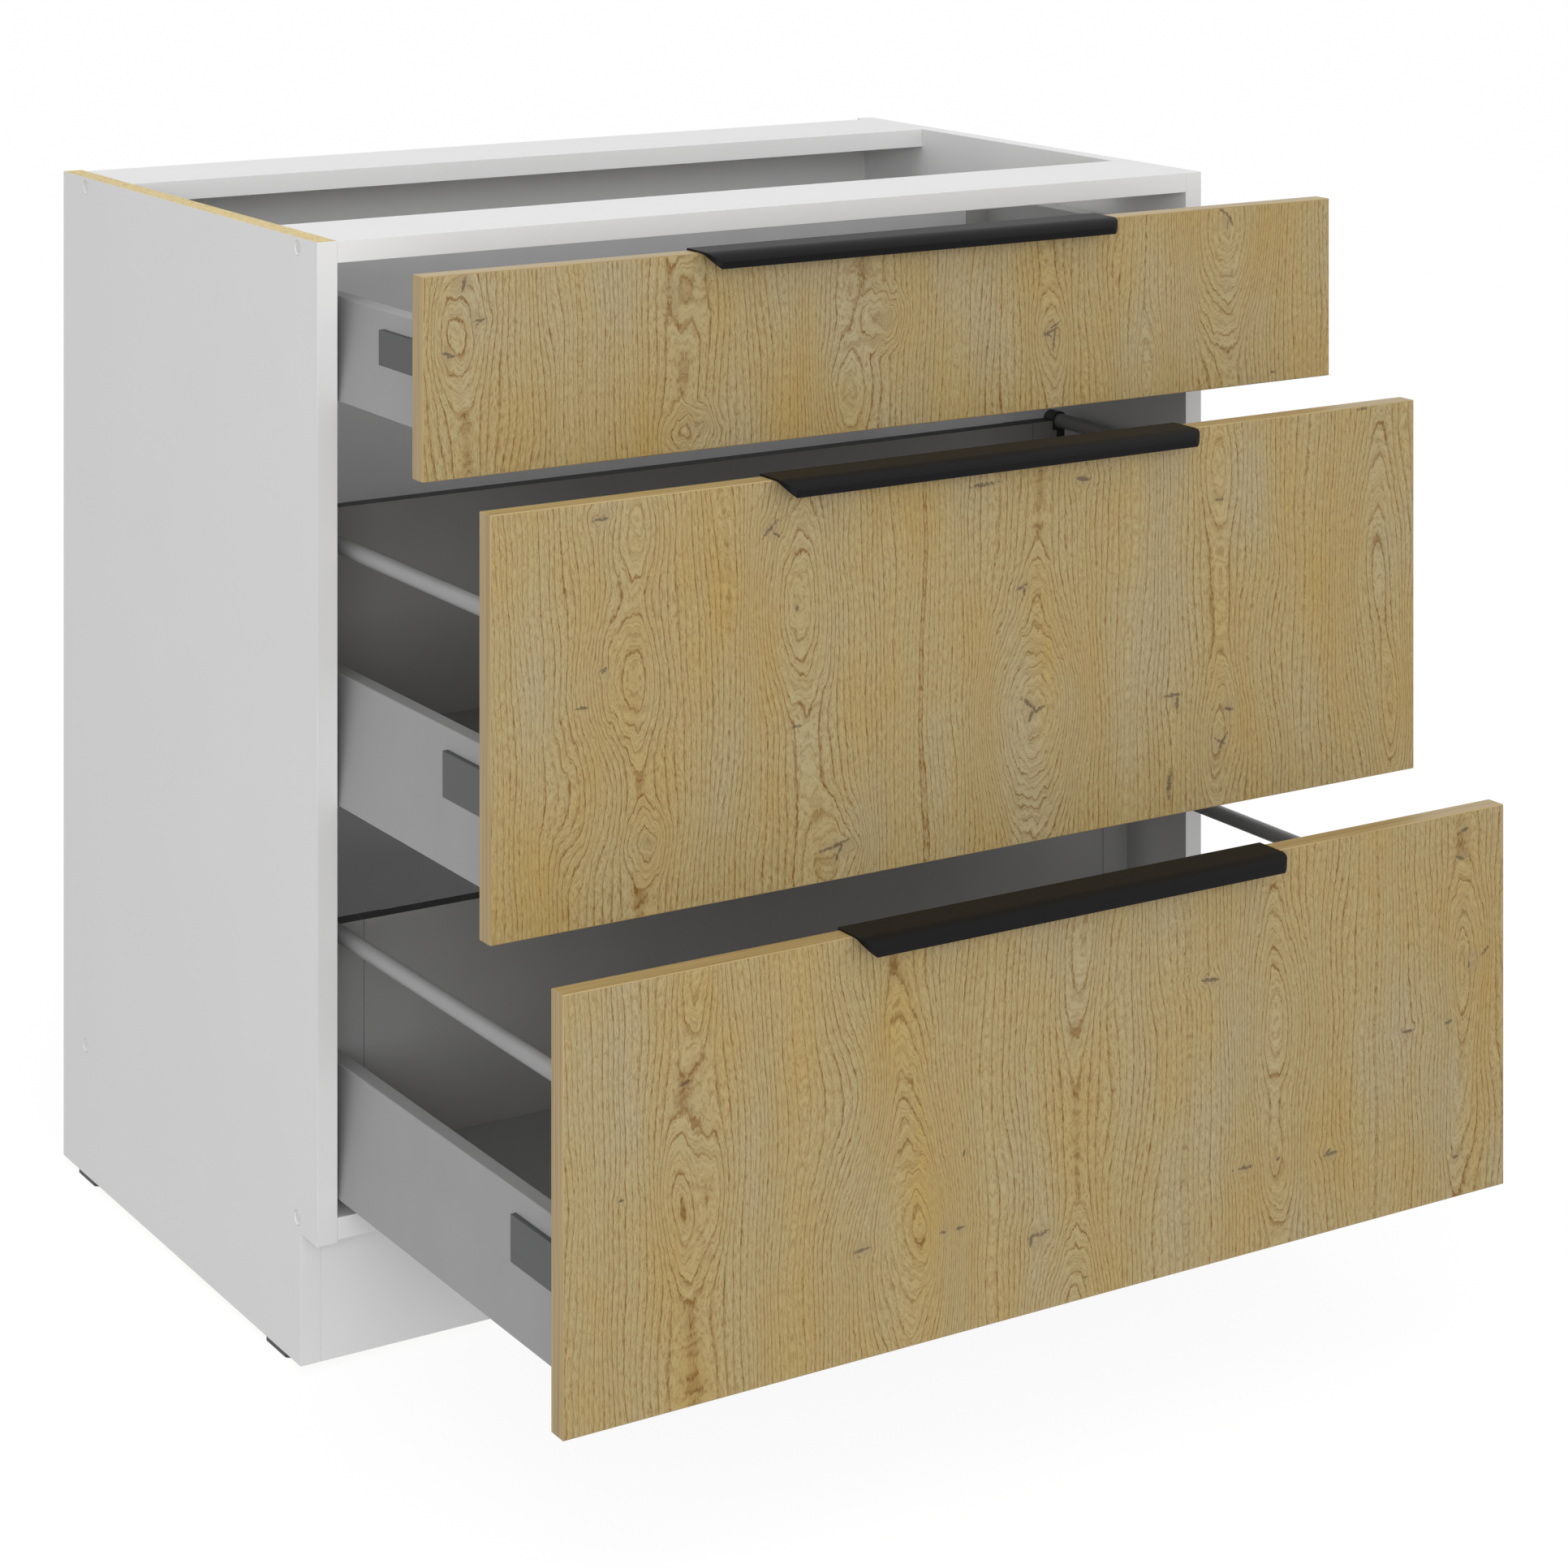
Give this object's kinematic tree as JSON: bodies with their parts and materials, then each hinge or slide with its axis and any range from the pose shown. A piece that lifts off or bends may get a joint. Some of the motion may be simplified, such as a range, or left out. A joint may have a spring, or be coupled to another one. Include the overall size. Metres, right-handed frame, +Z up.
{
  "type": "kitchen base cabinet with drawers",
  "caption": "Kitchen base cabinet with full-extension pull-out drawers in metal boxes, oak-decor fronts with black edge pulls, a white carcass and a recessed toe kick.",
  "frame": {"origin": "on the floor, under the middle of the bounding box with the drawers pulled out as at rest", "axes": "+Z up, +Y from the drawer fronts to the back of the cabinet, +X to the right seen from the front"},
  "size_m": [0.8, 0.8866, 0.82],
  "materials": {
    "white_melamine": "white melamine-faced chipboard, satin",
    "white_hardboard": "thin white-faced hardboard, satin",
    "oak_decor": "chipboard with an oak decor of upright grain, matt with fine pores",
    "grey_board": "grey melamine-faced board, satin",
    "pale_grey_board": "pale grey melamine-faced board, satin",
    "dark_steel": "powder-coated darker grey steel, satin",
    "grey_steel": "powder-coated grey steel, satin",
    "galvanised_steel": "galvanised steel strip",
    "zinc_steel": "zinc-plated steel",
    "grey_aluminium": "grey-coated aluminium, satin",
    "black_aluminium": "black-coated aluminium, satin",
    "grey_plastic": "dark grey plastic, fine satin",
    "black_plastic": "black plastic, satin",
    "white_plastic": "white plastic, satin"
  },
  "bodies": {
    "carcass": {"side_panel_left": "white_melamine", "side_panel_right": "white_melamine", "bottom_panel": "white_melamine", "top_rail_front": "white_melamine", "top_rail_rear": "white_melamine", "toe_kick": "white_melamine", "back_panel": "white_hardboard", "toe_kick_angles": "white_plastic", "screw_caps": "white_plastic", "floor_glides": "black_plastic", "connector_screws": "zinc_steel", "top_cabinet_rails": "galvanised_steel", "middle_cabinet_rails": "galvanised_steel", "bottom_cabinet_rails": "galvanised_steel"},
    "top_drawer": {"top_drawer_front": "oak_decor", "top_drawer_handle": "black_aluminium", "top_drawer_side_left": "grey_steel", "top_drawer_side_right": "grey_steel", "top_drawer_floor": "grey_board", "top_drawer_back": "pale_grey_board", "top_side_caps": "grey_plastic", "top_front_brackets": "galvanised_steel", "top_rear_brackets": "grey_steel", "top_drawer_rails": "galvanised_steel"},
    "top_middle_rail_left": {"top_middle_rail_left": "galvanised_steel"},
    "top_middle_rail_right": {"top_middle_rail_right": "galvanised_steel"},
    "middle_drawer": {"middle_drawer_front": "oak_decor", "middle_drawer_handle": "black_aluminium", "middle_drawer_side_left": "grey_steel", "middle_drawer_side_right": "grey_steel", "middle_drawer_floor": "grey_board", "middle_drawer_back": "grey_board", "middle_side_caps": "grey_plastic", "middle_front_brackets": "galvanised_steel", "middle_rear_brackets": "dark_steel", "middle_gallery_rods": "grey_aluminium", "middle_rod_sockets": "black_plastic", "middle_drawer_rails": "galvanised_steel"},
    "middle_middle_rail_left": {"middle_middle_rail_left": "galvanised_steel"},
    "middle_middle_rail_right": {"middle_middle_rail_right": "galvanised_steel"},
    "bottom_drawer": {"bottom_drawer_front": "oak_decor", "bottom_drawer_handle": "black_aluminium", "bottom_drawer_side_left": "grey_steel", "bottom_drawer_side_right": "grey_steel", "bottom_drawer_floor": "grey_board", "bottom_drawer_back": "grey_board", "bottom_side_caps": "grey_plastic", "bottom_front_brackets": "galvanised_steel", "bottom_rear_brackets": "dark_steel", "bottom_gallery_rods": "grey_aluminium", "bottom_rod_sockets": "black_plastic", "bottom_drawer_rails": "galvanised_steel"},
    "bottom_middle_rail_left": {"bottom_middle_rail_left": "galvanised_steel"},
    "bottom_middle_rail_right": {"bottom_middle_rail_right": "galvanised_steel"}
  },
  "joints": [
    {"name": "top_drawer_slide", "type": "slide", "parent": "carcass", "child": "top_drawer", "axis": [0, -1, 0], "range_m": [-0.147, 0.243]},
    {"name": "top_middle_rail_left_slide", "type": "slide", "parent": "carcass", "child": "top_middle_rail_left", "axis": [0, -1, 0], "range_m": [-0.0735, 0.1215]},
    {"name": "top_middle_rail_right_slide", "type": "slide", "parent": "carcass", "child": "top_middle_rail_right", "axis": [0, -1, 0], "range_m": [-0.0735, 0.1215]},
    {"name": "middle_drawer_slide", "type": "slide", "parent": "carcass", "child": "middle_drawer", "axis": [0, -1, 0], "range_m": [-0.247, 0.143]},
    {"name": "middle_middle_rail_left_slide", "type": "slide", "parent": "carcass", "child": "middle_middle_rail_left", "axis": [0, -1, 0], "range_m": [-0.1235, 0.0715]},
    {"name": "middle_middle_rail_right_slide", "type": "slide", "parent": "carcass", "child": "middle_middle_rail_right", "axis": [0, -1, 0], "range_m": [-0.1235, 0.0715]},
    {"name": "bottom_drawer_slide", "type": "slide", "parent": "carcass", "child": "bottom_drawer", "axis": [0, -1, 0], "range_m": [-0.347, 0.043]},
    {"name": "bottom_middle_rail_left_slide", "type": "slide", "parent": "carcass", "child": "bottom_middle_rail_left", "axis": [0, -1, 0], "range_m": [-0.1735, 0.0215]},
    {"name": "bottom_middle_rail_right_slide", "type": "slide", "parent": "carcass", "child": "bottom_middle_rail_right", "axis": [0, -1, 0], "range_m": [-0.1735, 0.0215]}
  ],
  "couplings": [
    {"joint": "top_middle_rail_left_slide", "follows": "top_drawer_slide", "ratio": 0.5},
    {"joint": "top_middle_rail_right_slide", "follows": "top_drawer_slide", "ratio": 0.5},
    {"joint": "middle_middle_rail_left_slide", "follows": "middle_drawer_slide", "ratio": 0.5},
    {"joint": "middle_middle_rail_right_slide", "follows": "middle_drawer_slide", "ratio": 0.5},
    {"joint": "bottom_middle_rail_left_slide", "follows": "bottom_drawer_slide", "ratio": 0.5},
    {"joint": "bottom_middle_rail_right_slide", "follows": "bottom_drawer_slide", "ratio": 0.5}
  ]
}
